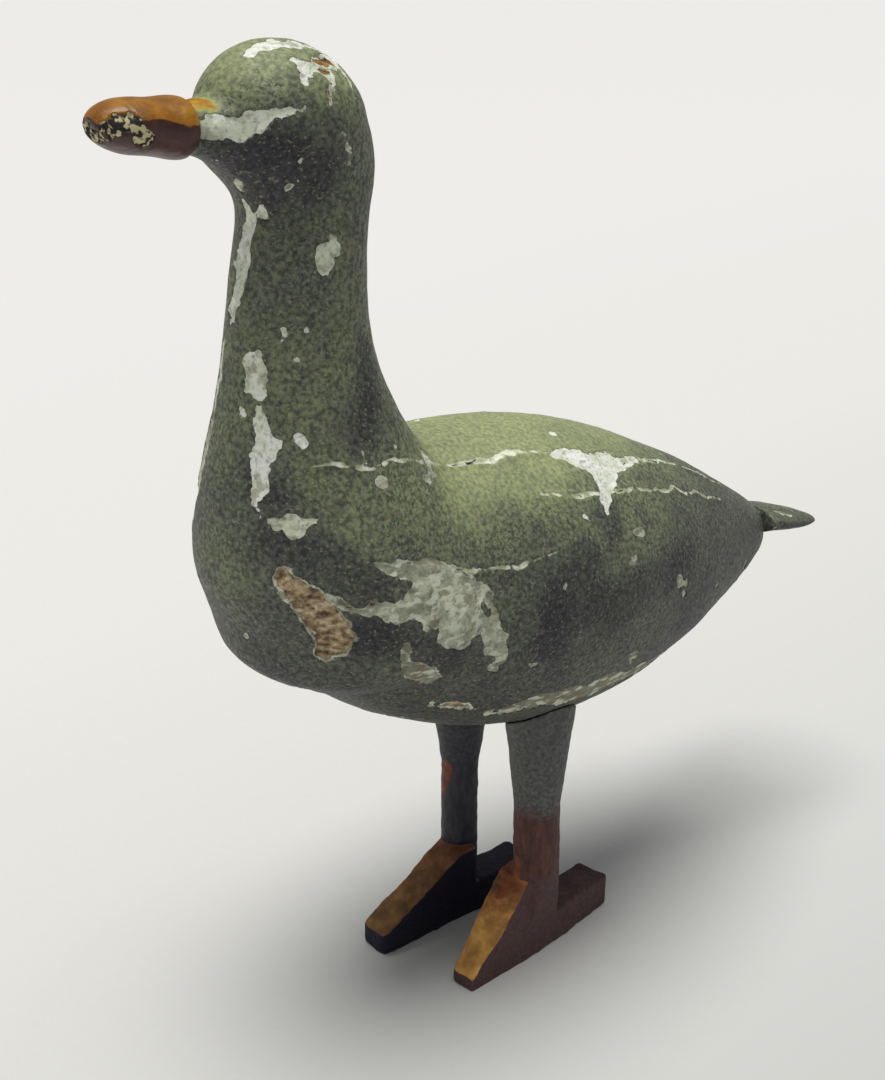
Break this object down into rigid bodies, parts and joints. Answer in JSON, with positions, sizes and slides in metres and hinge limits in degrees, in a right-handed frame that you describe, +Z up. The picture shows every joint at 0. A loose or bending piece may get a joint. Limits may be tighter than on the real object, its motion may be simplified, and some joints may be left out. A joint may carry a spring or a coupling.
{
  "type": "wooden goose figurine",
  "caption": "Small carved wooden goose that stands on two wedge feet, with an upright neck, a round-ended bill and a flat drooping tail.",
  "frame": {"origin": "on the floor under the goose, halfway between the tip of the bill and the tip of the tail, in the goose's middle plane", "axes": "+Z up, -Y ahead towards the bill, +X to the goose's left"},
  "size_m": [0.0186, 0.0597, 0.0597],
  "materials": {
    "painted_wood": "worn grey-green paint over pale gesso on carved wood",
    "amber_bill": "glossy amber paint, chipped at the tip",
    "painted_leg": "worn orange-brown paint, grey-green at the thigh",
    "bare_wood": "bare close-grained wood"
  },
  "bodies": {
    "root": {"body": "painted_wood", "neck": "painted_wood", "head": "painted_wood", "bill": "amber_bill", "tail": "painted_wood", "leg_left": "painted_leg", "leg_right": "painted_leg", "neck_dowel": "bare_wood", "head_dowel": "bare_wood"}
  },
  "joints": []
}
